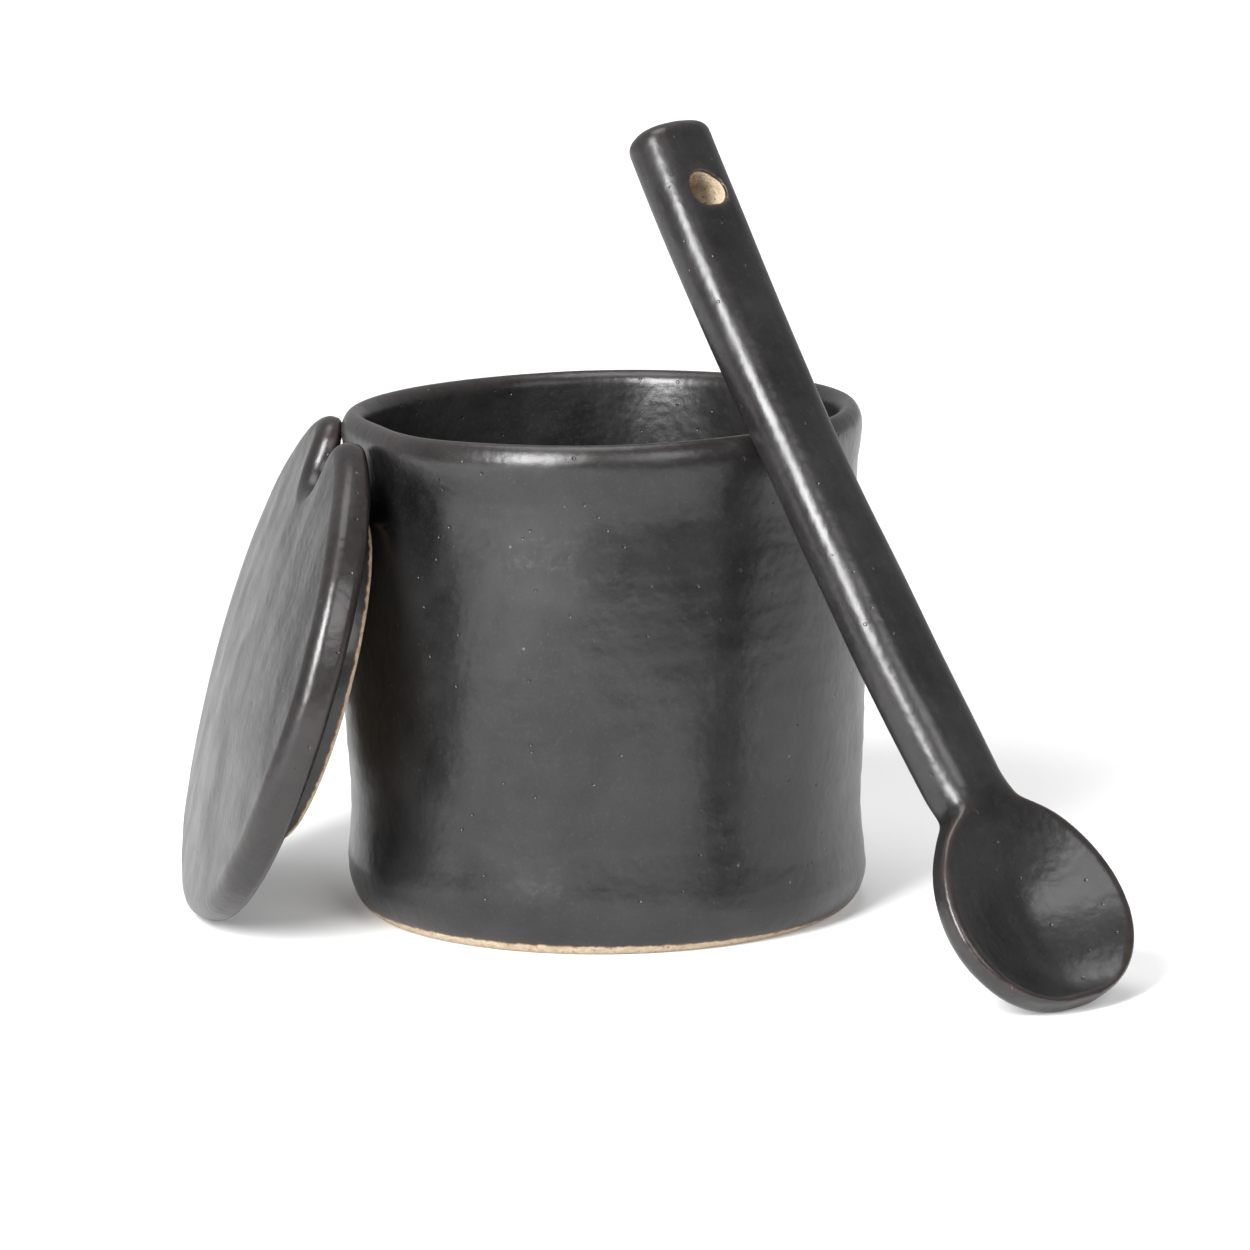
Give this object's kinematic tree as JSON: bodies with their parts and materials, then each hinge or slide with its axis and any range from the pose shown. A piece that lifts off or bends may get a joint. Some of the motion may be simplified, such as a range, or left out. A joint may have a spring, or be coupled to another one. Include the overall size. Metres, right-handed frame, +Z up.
{
  "type": "sugar bowl",
  "caption": "Round lidded stoneware sugar pot with a notched lid leaning on its side and a long-handled scoop spoon leaning on its rim.",
  "frame": {"origin": "centre of the pot's flat foot, on the table", "axes": "+Z up, +X towards the side that the spoon stands on, -Y towards the front"},
  "size_m": [0.1632, 0.1366, 0.1374],
  "materials": {
    "charcoal_glaze": "satin, mottled charcoal glaze with bare clay at the foot"
  },
  "bodies": {
    "bowl": {"bowl": "charcoal_glaze"},
    "lid": {"lid": "charcoal_glaze"},
    "spoon": {"spoon": "charcoal_glaze"}
  },
  "joints": [
    {"name": "lid_lift", "type": "slide", "parent": "bowl", "child": "lid", "axis": [-0.9311, -0.1962, 0.3074], "range_m": [0, 0.06]},
    {"name": "spoon_lift", "type": "slide", "parent": "bowl", "child": "spoon", "axis": [0.4706, -0.6699, 0.5742], "range_m": [0, 0.06]}
  ]
}
